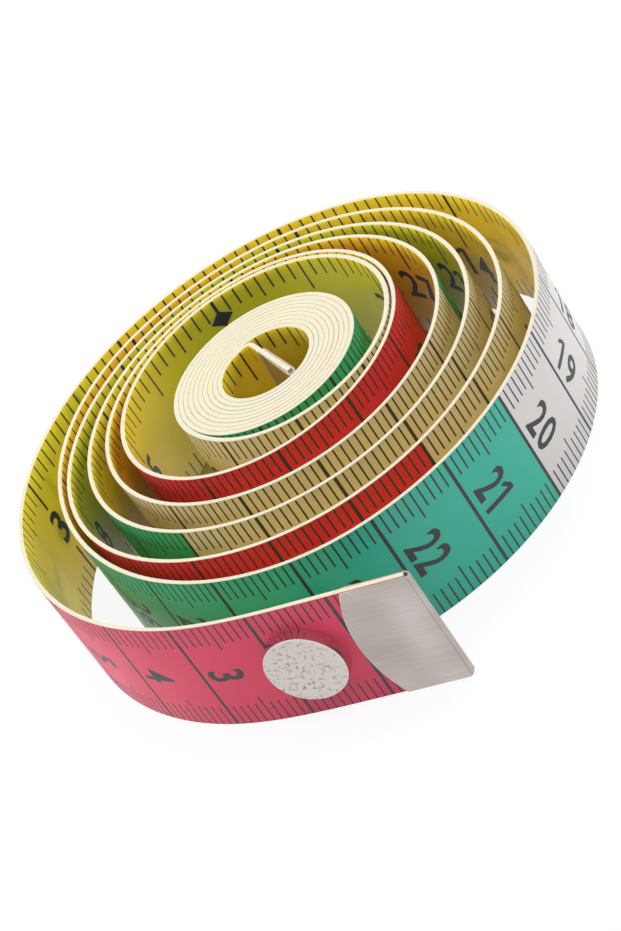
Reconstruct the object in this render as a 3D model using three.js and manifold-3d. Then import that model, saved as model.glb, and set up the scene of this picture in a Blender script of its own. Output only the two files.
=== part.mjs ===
// Cloth tape measure, rolled into a loose coil that stands on its edge.
// Millimetres, +Z up. The free end lies at the front (-Y), the eye of the coil towards the back.
import * as THREE from "three";
import { mergeVertices } from "three/addons/utils/BufferGeometryUtils.js";
import Module from "manifold-3d";

const wasm = await Module();
wasm.setup();

// Tape: coated woven band, its length counted from ferrule tip to ferrule tip
const TAPE_LENGTH = 1524;
const TAPE_WIDTH = 16;
const TAPE_THICKNESS = 0.25;

// Heart of the coil: tight turns round the eye
const TURN_GAP = 0.42;
const HEART_X = 1.85;
const HEART_Y = 7.85;
const HEART_LEAVES = -0.24; // turn at which the tape starts to leave the heart, 0 at the front
const LEAVING_TURNS = 0.42;

// Loose turns: the radius grows with each turn, and the centre moves to the front
const LOOSE_X = 1.4;
const LOOSE_Y = 10.2;
const LOOSE_RADIUS = 17.1;
const LOOSE_GROWTH = 2.25;
const LOOSE_SPREAD = 0.17;
const LOOSE_DRIFT = 1.72;

// Two places where a turn lies closer to the one inside it
const DENTS = [
  { turn: 1.13, depth: 2.42, reach: 0.345 },
  { turn: 4.78, depth: 2.7, reach: 0.22 },
];

// Free end: the curl eases out, then the end runs straight under the snap and the ferrule
const LAST_TURN = 5.88;
const EASE_LENGTH = 17;
const STRAIGHT_END = 13;

// Outer stretches that unroll, each on a hinge line across the tape
const STRETCH_LENGTH = 30;
const HINGE_COUNT = 6;
const HINGE_GAP = 0.3;
const STRETCHES_TO_STUD = 2; // whole stretches between the end and the one that carries the stud

// Ferrules: sheet metal folded over each end of the tape
const FERRULE_SHEET = 0.25;
const FERRULE_EDGE = 8.2;
const FERRULE_BULGE = 1.9;
const FERRULE_CORNER = 0.8;
const CRIMP_GAP = 0.2;
const INNER_BEND = 0.9;
const INNER_BEND_ANGLE = 88;
const INNER_TIP_GAP = 0.5;

// Snap: cap and socket near the free end, stud and post one tight turn further in
const SNAP_FROM_TIP = 16.4;
const SNAP_TO_STUD = 106;
const SEAT_GAP = 0.3;
const SNAP_SHEET = 0.3;
const CAP_DIAMETER = 9.4;
const CAP_HEIGHT = 1.5;
const CAP_RIM = 0.45;
const SHANK_RADIUS = 1.1;
const SHANK_WALL = 0.3;
const SOCKET_DIAMETER = 8.6;
const SOCKET_HEIGHT = 2.3;
const SOCKET_MOUTH = 2.15;
const SPRING_WIRE = 0.5;
const SPRING_RADIUS = 2.3;
const SPRING_OPENING = 40;
const STUD_DIAMETER = 8;
const STUD_HEIGHT = 2.4;
const STUD_NECK = 1.7;
const STUD_HEAD = 1.95;

// Fineness of the round forms
const STEPS_PER_TURN = 120;
const STEPS_PER_FACET = 4;
const STEPS_PER_STRETCH = 10;
const EASE_STEPS = 30;
const ROUND_SEGMENTS = 28;
const CORNER_STEPS = 4;
const WELD = 1e-5;

const TURN = 2 * Math.PI;
const TURN_PITCH = TAPE_THICKNESS + TURN_GAP;
const FOLD_INSIDE = TAPE_THICKNESS / 2 + CRIMP_GAP;
const FOLD_OUTSIDE = FOLD_INSIDE + FERRULE_SHEET;
const FERRULE_MIDDLE = FERRULE_EDGE + FERRULE_BULGE;
const TAPE_FACE = TAPE_THICKNESS / 2;
const STUD_FROM_TIP = SNAP_FROM_TIP + SNAP_TO_STUD;
const LAST_HINGE = STUD_FROM_TIP - (STRETCHES_TO_STUD + 0.5) * STRETCH_LENGTH;

const radians = (degrees) => (degrees * Math.PI) / 180;
const direction = (angle) => new THREE.Vector2(Math.cos(angle), Math.sin(angle));

function ease(share) {
  const x = THREE.MathUtils.clamp(share, 0, 1);
  return x ** 3 * (10 - 15 * x + 6 * x ** 2);
}

function dent({ turn, depth, reach }, at) {
  const share = Math.min(Math.abs(at - turn) / reach, 1);
  return depth * Math.cos((share * Math.PI) / 2) ** 2;
}

// The inner end: straight across the eye in its ferrule, with a sharp bend where it leaves the wall.
// The frame has the end of the innermost turn straight above the eye's centre.
function innerEnd(eyeRadius) {
  const bend = radians(INNER_BEND_ANGLE);
  const centre = new THREE.Vector2(0, eyeRadius - INNER_BEND);
  const leaves = centre.clone().addScaledVector(direction(Math.PI / 2 - bend), INNER_BEND);
  const tip = leaves.clone().addScaledVector(direction(-bend), FERRULE_MIDDLE + SEAT_GAP);
  const corner = tip.clone().addScaledVector(direction(Math.PI / 2 - bend), FOLD_OUTSIDE);
  return { centre, leaves, tip, corner };
}

// The eye is just wide enough for the inner ferrule
function eyeRadiusForFerrule() {
  const step = 0.01;
  let radius = INNER_BEND;
  const wall = () => radius + TURN_PITCH / 2 - TAPE_FACE - INNER_TIP_GAP;
  while (innerEnd(radius).corner.length() > wall()) radius += step;
  return radius;
}
const EYE_RADIUS = eyeRadiusForFerrule();

function heartPoint(turn, firstTurn) {
  const radius = EYE_RADIUS + TURN_PITCH * (turn - firstTurn);
  const centre = new THREE.Vector2(HEART_X, HEART_Y);
  return direction(TURN * turn - Math.PI / 2).multiplyScalar(radius).add(centre);
}

function loosePoint(turn) {
  let radius = LOOSE_RADIUS + LOOSE_GROWTH * turn + LOOSE_SPREAD * turn ** 2;
  for (const place of DENTS) radius -= dent(place, turn);
  const centre = new THREE.Vector2(LOOSE_X, LOOSE_Y - LOOSE_DRIFT * turn);
  return direction(TURN * turn - Math.PI / 2).multiplyScalar(radius).add(centre);
}

function coilPoint(turn, firstTurn) {
  const share = ease((turn - HEART_LEAVES) / LEAVING_TURNS);
  return heartPoint(turn, firstTurn).lerp(loosePoint(turn), share);
}

// The inner end, from its tip to the start of the innermost turn
function innerEndPoints(firstTurn) {
  const heart = new THREE.Vector2(HEART_X, HEART_Y);
  const turned = TURN * firstTurn - Math.PI;
  const { centre, leaves, tip } = innerEnd(EYE_RADIUS);
  const points = [tip, leaves];
  const steps = 2 * CORNER_STEPS;
  for (let i = 1; i < steps; i += 1) {
    const angle = Math.PI / 2 - radians(INNER_BEND_ANGLE) * (1 - i / steps);
    points.push(centre.clone().addScaledVector(direction(angle), INNER_BEND));
  }
  return points.map((point) => point.rotateAround(new THREE.Vector2(), turned).add(heart));
}

// The free end, from the last turn to the tip
function freeEndPoints() {
  const before = loosePoint(LAST_TURN - 1 / STEPS_PER_TURN);
  const start = loosePoint(LAST_TURN);
  const after = loosePoint(LAST_TURN + 1 / STEPS_PER_TURN);
  const heading = after.clone().sub(before).angle();
  const curl = after.clone().sub(start).angle() - start.clone().sub(before).angle();
  const curvature = curl / start.distanceTo(before);
  const step = EASE_LENGTH / EASE_STEPS;
  const points = [];
  const point = start.clone();
  let angle = heading;
  for (let i = 0; i < EASE_STEPS; i += 1) {
    const middle = (i + 0.5) / EASE_STEPS;
    const turnInStep = curvature * (1 - middle) * step;
    point.addScaledVector(direction(angle + turnInStep / 2), step);
    angle += turnInStep;
    points.push(point.clone());
  }
  points.push(point.clone().addScaledVector(direction(angle), STRAIGHT_END));
  return points;
}

// The whole centre line, from the inner tip to the outer tip
function centreLine(turnsInHeart) {
  const firstTurn = HEART_LEAVES - turnsInHeart;
  const steps = Math.round((LAST_TURN - firstTurn) * STEPS_PER_TURN);
  const points = innerEndPoints(firstTurn);
  for (let i = 0; i <= steps; i += 1) {
    const turn = firstTurn + ((LAST_TURN - firstTurn) * i) / steps;
    points.push(coilPoint(turn, firstTurn));
  }
  return points.concat(freeEndPoints());
}

function lengthOf(points) {
  let length = 0;
  for (let i = 1; i < points.length; i += 1) length += points[i].distanceTo(points[i - 1]);
  return length;
}

// The heart takes up the length that the loose turns leave
function turnsForLength() {
  let low = 0;
  let high = 30;
  const rounds = 40;
  for (let i = 0; i < rounds; i += 1) {
    const middle = (low + high) / 2;
    if (lengthOf(centreLine(middle)) < TAPE_LENGTH) low = middle;
    else high = middle;
  }
  return low;
}
const PATH = centreLine(turnsForLength()).reverse();
const DISTANCE = [0];
for (let i = 1; i < PATH.length; i += 1) DISTANCE.push(DISTANCE[i - 1] + PATH[i].distanceTo(PATH[i - 1]));

// A station on the tape: its place, the way towards the outer tip, and the way out of the printed face
function stationBetween(point, nearTip, nearEye) {
  const along = nearTip.clone().sub(nearEye).normalize();
  return { point, along, out: new THREE.Vector2(along.y, -along.x) };
}

function stationOfPoint(i) {
  return stationBetween(PATH[i], PATH[Math.max(i - 1, 0)], PATH[Math.min(i + 1, PATH.length - 1)]);
}

function stationAt(distance) {
  let i = 1;
  while (i < PATH.length - 1 && DISTANCE[i] < distance) i += 1;
  const share = (distance - DISTANCE[i - 1]) / (DISTANCE[i] - DISTANCE[i - 1]);
  return stationBetween(PATH[i - 1].clone().lerp(PATH[i], share), PATH[i - 1], PATH[i]);
}

function stationsEvery(from, to, steps) {
  const stations = [];
  for (let i = 0; i <= steps; i += 1) stations.push(stationAt(from + ((to - from) * i) / steps));
  return stations;
}

// Stations of the coil: every few points of the turns, and each point of the inner end
function coilStations(from, to) {
  const stations = [stationAt(from)];
  const innerBend = PATH.length - 2 * CORNER_STEPS - 2;
  let i = DISTANCE.findIndex((distance) => distance > from + STRETCH_LENGTH / STEPS_PER_STRETCH);
  while (i < PATH.length - 1) {
    stations.push(stationOfPoint(i));
    i += i < innerBend ? Math.min(STEPS_PER_FACET, innerBend - i) : 1;
  }
  stations.push(stationAt(to));
  return stations;
}

// A closed band that stands on its edge along a row of stations
function band(stations) {
  const positions = [];
  const triangles = [];
  for (const { point, out } of stations) {
    for (const [side, height] of [[1, 0], [1, TAPE_WIDTH], [-1, TAPE_WIDTH], [-1, 0]]) {
      positions.push(point.x + out.x * TAPE_FACE * side, point.y + out.y * TAPE_FACE * side, height);
    }
  }
  for (let i = 0; i + 1 < stations.length; i += 1) {
    for (let side = 0; side < 4; side += 1) {
      const next = (side + 1) % 4;
      const [a, b, c, d] = [4 * i + side, 4 * i + next, 4 * i + 4 + next, 4 * i + 4 + side];
      triangles.push(a, b, c, a, c, d);
    }
  }
  const last = 4 * (stations.length - 1);
  triangles.push(0, 2, 1, 0, 3, 2, last, last + 1, last + 2, last, last + 2, last + 3);
  const geometry = new THREE.BufferGeometry();
  geometry.setAttribute("position", new THREE.Float32BufferAttribute(positions, 3));
  geometry.setIndex(triangles);
  return geometry;
}

// Solid from a closed geometry, and back
function solidFrom(geometry) {
  const bare = geometry.clone();
  for (const name of ["normal", "uv"]) bare.deleteAttribute(name);
  const merged = mergeVertices(bare, WELD);
  return new wasm.Manifold(new wasm.Mesh({
    numProp: 3,
    vertProperties: new Float32Array(merged.attributes.position.array),
    triVerts: new Uint32Array(merged.index.array),
  }));
}

function geometryFrom(solid) {
  const { vertProperties, triVerts } = solid.getMesh();
  const geometry = new THREE.BufferGeometry();
  geometry.setAttribute("position", new THREE.Float32BufferAttribute(vertProperties, 3));
  geometry.setIndex(Array.from(triVerts));
  return geometry;
}

// The frame of a place on the tape: X towards the outer tip, Y up, Z out of the printed face
function frameAt(distance, height) {
  const { point, along, out } = stationAt(distance);
  const frame = new THREE.Matrix4().makeBasis(
    new THREE.Vector3(along.x, along.y, 0),
    new THREE.Vector3(0, 0, 1),
    new THREE.Vector3(out.x, out.y, 0),
  );
  return frame.setPosition(point.x, point.y, height);
}

// A round piece from a profile of [radius, height] pairs, its axis along Z
function turned(profile) {
  const points = profile.map(([radius, height]) => new THREE.Vector2(radius, height));
  return new THREE.LatheGeometry(points, ROUND_SEGMENTS).rotateX(Math.PI / 2);
}

// A quarter round between two directions, as profile points
function quarterRound(radius, height, size, fromAngle) {
  const points = [];
  for (let i = 0; i <= CORNER_STEPS; i += 1) {
    const angle = radians(fromAngle - (90 * i) / CORNER_STEPS);
    points.push([radius + size * Math.cos(angle), height + size * Math.sin(angle)]);
  }
  return points;
}

// Lathe profiles run with their solid on the left, so that faces point out
const counterClockwise = (profile) => [...profile].reverse();

function punched(stations, distance, radius) {
  const drill = new THREE.CylinderGeometry(radius, radius, TAPE_WIDTH / 2, ROUND_SEGMENTS);
  drill.rotateX(Math.PI / 2).applyMatrix4(frameAt(distance, TAPE_WIDTH / 2));
  return geometryFrom(solidFrom(band(stations)).subtract(solidFrom(drill)));
}

// Ferrule: a folded sheet cut to an outline with a bowed inner edge. Its tip is at the origin, along X.
function ferrule() {
  const fold = new THREE.Shape();
  const back = -FERRULE_MIDDLE - CRIMP_GAP;
  fold.moveTo(back, -FOLD_OUTSIDE);
  fold.absarc(-FOLD_OUTSIDE, 0, FOLD_OUTSIDE, -Math.PI / 2, Math.PI / 2, false);
  fold.lineTo(back, FOLD_OUTSIDE);
  fold.lineTo(back, FOLD_INSIDE);
  fold.absarc(-FOLD_OUTSIDE, 0, FOLD_INSIDE, Math.PI / 2, -Math.PI / 2, true);
  fold.lineTo(back, -FOLD_INSIDE);
  const folded = new THREE.ExtrudeGeometry(fold, {
    depth: TAPE_WIDTH, bevelEnabled: false, curveSegments: 2 * CORNER_STEPS,
  });
  folded.rotateX(Math.PI / 2).translate(0, TAPE_WIDTH / 2, 0);

  const half = TAPE_WIDTH / 2;
  const bow = (half ** 2 + FERRULE_BULGE ** 2) / (2 * FERRULE_BULGE);
  const spread = Math.asin(half / bow);
  const outline = new THREE.Shape();
  outline.moveTo(-FERRULE_EDGE, -half);
  outline.lineTo(-FERRULE_CORNER, -half);
  outline.absarc(-FERRULE_CORNER, -half + FERRULE_CORNER, FERRULE_CORNER, -Math.PI / 2, 0, false);
  outline.lineTo(0, half - FERRULE_CORNER);
  outline.absarc(-FERRULE_CORNER, half - FERRULE_CORNER, FERRULE_CORNER, 0, Math.PI / 2, false);
  outline.lineTo(-FERRULE_EDGE, half);
  outline.absarc(bow - FERRULE_MIDDLE, 0, bow, Math.PI - spread, Math.PI + spread, false);
  const cutter = new THREE.ExtrudeGeometry(outline, {
    depth: TAPE_WIDTH, bevelEnabled: false, curveSegments: 3 * CORNER_STEPS,
  });
  cutter.translate(0, 0, -half);
  return geometryFrom(solidFrom(folded).intersect(solidFrom(cutter)));
}

// Snap cap: a drawn disc with a rolled rim and a hollow shank that is flared inside the socket
function snapCap() {
  const radius = CAP_DIAMETER / 2;
  const under = TAPE_FACE + SEAT_GAP;
  const top = under + CAP_HEIGHT;
  const plate = -TAPE_FACE - SEAT_GAP - SNAP_SHEET;
  const flare = plate - SEAT_GAP;
  const bore = SHANK_RADIUS - SHANK_WALL;
  return turned(counterClockwise([
    [0, top],
    ...quarterRound(radius - CAP_RIM, top - CAP_RIM, CAP_RIM, 90),
    [radius, under],
    [radius - SNAP_SHEET, under],
    [radius - CAP_RIM, top - SNAP_SHEET],
    [SHANK_RADIUS, top - SNAP_SHEET],
    [SHANK_RADIUS, flare],
    [SHANK_RADIUS + SNAP_SHEET, flare],
    [SHANK_RADIUS + SNAP_SHEET, flare - SNAP_SHEET],
    [bore, flare - SNAP_SHEET],
    [bore, top - 2 * SNAP_SHEET],
    [0, top - 2 * SNAP_SHEET],
  ]));
}

// Snap socket: a cup against the tape's back, with a plate round the shank and a lip that keeps the spring
function snapSocket() {
  const radius = SOCKET_DIAMETER / 2;
  const top = -TAPE_FACE - SEAT_GAP;
  const bottom = top - SOCKET_HEIGHT;
  const groove = SPRING_RADIUS + SPRING_WIRE / 2 + CRIMP_GAP;
  const profile = [
    [SHANK_RADIUS + CRIMP_GAP, top],
    [radius, top],
    [radius, top - SNAP_SHEET],
    [groove + 2 * SNAP_SHEET, top - 2 * SNAP_SHEET],
    ...quarterRound(groove + SNAP_SHEET - CAP_RIM, bottom + CAP_RIM, CAP_RIM, 0),
    [SOCKET_MOUTH, bottom],
    [SOCKET_MOUTH, bottom + SNAP_SHEET],
    [groove, bottom + SNAP_SHEET],
    [groove, top - SNAP_SHEET],
    [SHANK_RADIUS + CRIMP_GAP, top - SNAP_SHEET],
    [SHANK_RADIUS + CRIMP_GAP, top],
  ];
  return turned(counterClockwise(profile));
}

// Snap spring: an open wire ring that grips the stud's neck
class RingArc extends THREE.Curve {
  getPoint(share, target = new THREE.Vector3()) {
    const half = radians(SPRING_OPENING) / 2;
    const angle = half + (TURN - 2 * half) * share;
    return target.set(SPRING_RADIUS * Math.cos(angle), SPRING_RADIUS * Math.sin(angle), 0);
  }
}

function snapSpring() {
  const wire = new THREE.Shape();
  wire.absarc(0, 0, SPRING_WIRE / 2, 0, TURN, false);
  const ring = new THREE.ExtrudeGeometry(wire, {
    steps: ROUND_SEGMENTS, extrudePath: new RingArc(), curveSegments: 2 * CORNER_STEPS, bevelEnabled: false,
  });
  const mouth = -TAPE_FACE - SEAT_GAP - SOCKET_HEIGHT;
  return ring.translate(0, 0, mouth + SNAP_SHEET + CRIMP_GAP + SPRING_WIRE / 2);
}

// Snap stud: a drawn ring with a necked head, hollow for the post's shank
function snapStud() {
  const radius = STUD_DIAMETER / 2;
  const base = TAPE_FACE + SEAT_GAP;
  const top = base + STUD_HEIGHT;
  const neck = base + 2 * SNAP_SHEET;
  const head = STUD_HEAD - STUD_NECK;
  const profile = [
    [0, top],
    ...quarterRound(STUD_HEAD - CAP_RIM, top - CAP_RIM, CAP_RIM, 90),
    [STUD_HEAD, top - 2 * CAP_RIM],
    [STUD_NECK, top - 2 * CAP_RIM - head],
    [STUD_NECK, neck + SNAP_SHEET],
    [STUD_NECK + SNAP_SHEET, neck],
    [radius, base + SNAP_SHEET],
    [radius, base],
    [STUD_NECK - SNAP_SHEET, base],
    [STUD_NECK - SNAP_SHEET, top - SNAP_SHEET],
    [0, top - SNAP_SHEET],
  ];
  return turned(counterClockwise(profile));
}

// Snap post: a low domed rivet head on the tape's back, with a hollow shank up inside the stud
function snapPost(sag) {
  const radius = STUD_DIAMETER / 2;
  const top = -TAPE_FACE - SEAT_GAP - sag;
  const bottom = top - 2 * SNAP_SHEET;
  const shankTop = TAPE_FACE + SEAT_GAP + STUD_HEIGHT / 2;
  const bore = SHANK_RADIUS - SHANK_WALL;
  const profile = [
    [SHANK_RADIUS, shankTop],
    [SHANK_RADIUS, top],
    [radius, top],
    [radius - CAP_RIM, bottom],
    [bore, bottom],
    [bore, shankTop],
    [SHANK_RADIUS, shankTop],
  ];
  return turned(counterClockwise(profile));
}

const coatedBand = (color) => new THREE.MeshStandardMaterial({ color, roughness: 0.55, metalness: 0 });
const satinMetal = (color) => new THREE.MeshStandardMaterial({ color, roughness: 0.35, metalness: 1 });
const BLOCK_LENGTH = 100;
const BLOCK_COLOURS = [0xcf4a63, 0xe4dfd6, 0x35a083, 0xe4dfd6];
const blockColour = (distance) => BLOCK_COLOURS[Math.floor(distance / BLOCK_LENGTH) % BLOCK_COLOURS.length];

const coil = new THREE.Group();

function place(parent, name, geometry, material, frame) {
  const mesh = new THREE.Mesh(geometry, material);
  mesh.name = name;
  if (frame) mesh.applyMatrix4(frame);
  const offset = new THREE.Vector3();
  for (let group = parent; group !== coil; group = group.parent) offset.add(group.position);
  mesh.position.sub(offset);
  parent.add(mesh);
}

// The coil, from the first hinge of the free stretches to the inner end
const hingeAt = (count) => LAST_HINGE + STRETCH_LENGTH * (HINGE_COUNT - count);
const innerTip = TAPE_LENGTH - FOLD_OUTSIDE;
const fixedStations = coilStations(hingeAt(1) + HINGE_GAP / 2, innerTip);
place(coil, "tape_coil", band(fixedStations), coatedBand(0xd8b62f));

const turnedRound = new THREE.Matrix4().makeRotationZ(Math.PI);
const innerFrame = frameAt(TAPE_LENGTH, TAPE_WIDTH / 2).multiply(turnedRound);
place(coil, "inner_ferrule", ferrule(), satinMetal(0xbdb6b2), innerFrame);

// The free stretches: each hangs on the one before it by a hinge line at its inner end
let carrier = coil;
let carrierHinge = new THREE.Vector2();
for (let count = 1; count <= HINGE_COUNT; count += 1) {
  const last = count === HINGE_COUNT;
  const inner = hingeAt(count);
  const outer = last ? 0 : hingeAt(count + 1);
  const hinge = stationAt(inner).point;
  const stretch = new THREE.Group();
  stretch.position.set(hinge.x - carrierHinge.x, hinge.y - carrierHinge.y, 0);
  carrier.add(stretch);

  const from = last ? FOLD_OUTSIDE : outer + HINGE_GAP / 2;
  const steps = last ? 2 * STEPS_PER_STRETCH : STEPS_PER_STRETCH;
  const stations = stationsEvery(from, inner - HINGE_GAP / 2, steps);
  const material = coatedBand(blockColour((inner + outer) / 2));
  const holdsStud = STUD_FROM_TIP > outer && STUD_FROM_TIP < inner;
  const hole = last ? SNAP_FROM_TIP : STUD_FROM_TIP;
  const geometry = last || holdsStud ? punched(stations, hole, SHANK_RADIUS + SEAT_GAP) : band(stations);
  place(stretch, last ? "tape_end" : `tape_stretch_${count}`, geometry, material);

  if (holdsStud) {
    const middle = frameAt(STUD_FROM_TIP, TAPE_WIDTH / 2);
    const bend = stationAt(STUD_FROM_TIP - STUD_DIAMETER / 2).along.angleTo(stationAt(STUD_FROM_TIP).along);
    const sag = (STUD_DIAMETER / 2) * Math.tan(bend / 2);
    place(stretch, "snap_stud", snapStud(), satinMetal(0xc9c4bf), middle);
    place(stretch, "snap_post", snapPost(sag), satinMetal(0xc9c4bf), middle);
  }
  if (last) {
    const middle = frameAt(SNAP_FROM_TIP, TAPE_WIDTH / 2);
    place(stretch, "outer_ferrule", ferrule(), satinMetal(0xbdb6b2), frameAt(0, TAPE_WIDTH / 2));
    place(stretch, "snap_cap", snapCap(), satinMetal(0xc9c4bf), middle);
    place(stretch, "snap_socket", snapSocket(), satinMetal(0xc9c4bf), middle);
    place(stretch, "snap_spring", snapSpring(), satinMetal(0xd8d4d0), middle);
  }
  carrier = stretch;
  carrierHinge = hinge;
}

// Least clear gap between turns, measured on points along the facets that lie over half a turn apart
function leastGap(stations) {
  const pointsPerFacet = 3;
  const points = [];
  for (let i = 0; i + 1 < stations.length; i += 1) {
    const next = stations[i + 1].point;
    for (let k = 0; k < pointsPerFacet; k += 1) {
      points.push(stations[i].point.clone().lerp(next, k / pointsPerFacet));
    }
  }
  const halfTurn = Math.ceil((pointsPerFacet * STEPS_PER_TURN) / STEPS_PER_FACET / 2);
  let least = Infinity;
  for (let i = 0; i < points.length; i += 1) {
    for (let k = i + halfTurn; k < points.length; k += 1) {
      least = Math.min(least, points[i].distanceTo(points[k]));
    }
  }
  return least - TAPE_THICKNESS;
}
console.log(`least gap between turns ${leastGap(fixedStations).toFixed(3)} mm`);

// The origin is under the middle of the coil, on the surface that it stands on
const tapeMeasure = new THREE.Group();
tapeMeasure.add(coil);
const box = new THREE.Box3().setFromObject(tapeMeasure);
const middle = box.getCenter(new THREE.Vector3());
coil.position.set(-middle.x, -middle.y, -box.min.z);

export default tapeMeasure;
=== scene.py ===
import math

import bmesh
import bpy
import numpy as np
from mathutils import Matrix, Vector


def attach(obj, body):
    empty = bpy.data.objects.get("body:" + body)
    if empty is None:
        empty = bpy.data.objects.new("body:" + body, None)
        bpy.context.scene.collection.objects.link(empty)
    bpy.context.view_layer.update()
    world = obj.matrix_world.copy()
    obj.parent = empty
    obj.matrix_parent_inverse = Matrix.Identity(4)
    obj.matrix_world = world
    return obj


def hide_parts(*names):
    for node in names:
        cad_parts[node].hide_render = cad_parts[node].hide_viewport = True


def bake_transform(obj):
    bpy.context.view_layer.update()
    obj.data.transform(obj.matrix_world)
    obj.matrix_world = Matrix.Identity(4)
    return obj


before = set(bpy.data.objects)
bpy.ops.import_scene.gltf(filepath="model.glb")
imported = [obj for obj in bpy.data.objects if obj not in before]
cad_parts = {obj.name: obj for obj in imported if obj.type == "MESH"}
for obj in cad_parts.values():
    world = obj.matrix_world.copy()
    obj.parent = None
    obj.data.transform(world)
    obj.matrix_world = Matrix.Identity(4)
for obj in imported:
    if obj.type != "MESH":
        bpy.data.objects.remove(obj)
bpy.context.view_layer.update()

MM = 0.001


# Tape: one band of glass cloth, coated on both faces, 16 mm wide and 60 in long, rolled on its edge.
# The cloth is slit from a wide roll after coating, so its cut edges show the pale core.
# Its centre line is one spiral: tight turns round the eye, then loose turns, then the free end.
TAPE_LENGTH = 1524 * MM
TAPE_WIDTH = 16 * MM
TAPE_SHOWN = 0.53 * MM  # as drawn in the loose turns
TAPE_FULL = 0.64 * MM  # as drawn in the ferrules and in the tight heart
THICKNESS_RUNS = [10 * MM, 20 * MM, 860 * MM, 960 * MM]  # where one goes over into the other
TAPE_IN_SOLIDS = 0.25 * MM
TURN_PITCH = 0.67 * MM
HEART = np.array([1.85, 7.85]) * MM
HEART_LEAVES = -0.24  # in turns, counted from the first loose one
LEAVING_TURNS = 0.42
LOOSE = np.array([1.4, 10.2]) * MM
LOOSE_RADIUS = 17.1 * MM
LOOSE_GROWTH = 2.25 * MM
LOOSE_SPREAD = 0.17 * MM
LOOSE_DRIFT = 1.72 * MM
DENTS = [(1.13, 2.42 * MM, 0.345), (4.78, 2.7 * MM, 0.22)]  # turn, depth, and reach in turns
LAST_TURN = 5.88
EASE_LENGTH = 17 * MM
STRAIGHT_END = 13 * MM
INNER_BEND = 0.9 * MM
INNER_BEND_ANGLE = math.radians(88)
INNER_STRAIGHT = 10.4 * MM
INNER_TIP_GAP = 0.5 * MM
FERRULE_HALF = 0.575 * MM
COIL_PLACE = np.array([-0.3766, 2.6744]) * MM


def heading(angle):
    """Unit vectors in the plane, one for each angle."""
    return np.stack([np.cos(angle), np.sin(angle)], axis=-1)


def inner_end(eye):
    """The end bent across an eye of this radius: middle of its bend, where that leaves, tip, corner."""
    centre = np.array([0, eye - INNER_BEND])
    leaves = centre + INNER_BEND * heading(math.pi / 2 - INNER_BEND_ANGLE)
    tip = leaves + INNER_STRAIGHT * heading(-INNER_BEND_ANGLE)
    corner = tip + FERRULE_HALF * heading(math.pi / 2 - INNER_BEND_ANGLE)
    return centre, leaves, tip, corner


# The eye is just wide enough for the bent end, with a gap between its ferrule and the turn round it.
EYE_STEP = 0.01 * MM
eye_radius = INNER_BEND
to_wall = TURN_PITCH / 2 - TAPE_IN_SOLIDS / 2 - INNER_TIP_GAP
while np.linalg.norm(inner_end(eye_radius)[-1]) > eye_radius + to_wall:
    eye_radius += EYE_STEP


def loose_point(turn):
    """Places on the loose turns, whose radius grows and whose centre moves to the front."""
    radius = LOOSE_RADIUS + LOOSE_GROWTH * turn + LOOSE_SPREAD * turn**2
    for at, depth, reach in DENTS:
        share = np.minimum(np.abs(turn - at) / reach, 1)
        radius = radius - depth * np.cos(share * math.pi / 2) ** 2
    centre = LOOSE - np.multiply.outer(turn, [0, LOOSE_DRIFT])
    return centre + heading(2 * math.pi * turn - math.pi / 2) * np.expand_dims(radius, -1)


def coil_point(turn, first):
    """Places on the whole spiral: tight turns from the first on, then smoothly over into loose ones."""
    radius = eye_radius + TURN_PITCH * (turn - first)
    tight = HEART + heading(2 * math.pi * turn - math.pi / 2) * np.expand_dims(radius, -1)
    x = np.clip((turn - HEART_LEAVES) / LEAVING_TURNS, 0, 1)
    share = np.expand_dims(x**3 * (10 - 15 * x + 6 * x**2), -1)
    return tight + (loose_point(turn) - tight) * share


def inner_end_points(first):
    """The end in the eye, from its tip to the first tight turn."""
    STRAIGHT_POINTS = 22
    BEND_STEPS = 16
    centre, leaves, tip, _ = inner_end(eye_radius)
    bend = math.pi / 2 - INNER_BEND_ANGLE * (1 - np.arange(1, BEND_STEPS) / BEND_STEPS)
    straight = np.linspace(tip, leaves, STRAIGHT_POINTS)
    points = np.vstack([straight, centre + INNER_BEND * heading(bend)])
    turned = 2 * math.pi * first - math.pi
    across = np.array([[math.cos(turned), math.sin(turned)], [-math.sin(turned), math.cos(turned)]])
    return points @ across + HEART


def free_end_points():
    """The outer end: the curl of the last turn eases off, and the tape runs straight to its tip."""
    TURN_STEP = 1 / 120
    EASE_STEPS = 60
    STRAIGHT_POINTS = 27
    before = loose_point(LAST_TURN - TURN_STEP)
    start = loose_point(LAST_TURN)
    after = loose_point(LAST_TURN + TURN_STEP)
    turn_in = np.arctan2(*(after - start)[::-1]) - np.arctan2(*(start - before)[::-1])
    curl = turn_in / np.linalg.norm(start - before)
    angle = np.arctan2(*(after - before)[::-1])
    step = EASE_LENGTH / EASE_STEPS
    points = [start]
    for i in range(EASE_STEPS):
        bend = curl * (1 - (i + 0.5) / EASE_STEPS) * step
        points.append(points[-1] + step * heading(angle + bend / 2))
        angle += bend
    straight = np.linspace(0, STRAIGHT_END, STRAIGHT_POINTS)[1:]
    return np.vstack([points[1:], points[-1] + np.multiply.outer(straight, heading(angle))])


def centre_line(heart_turns, steps_per_turn):
    """The whole centre line, from the inner tip to the outer one."""
    first = HEART_LEAVES - heart_turns
    turns = np.linspace(first, LAST_TURN, round((LAST_TURN - first) * steps_per_turn) + 1)
    return np.vstack([inner_end_points(first), coil_point(turns, first), free_end_points()])


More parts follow.
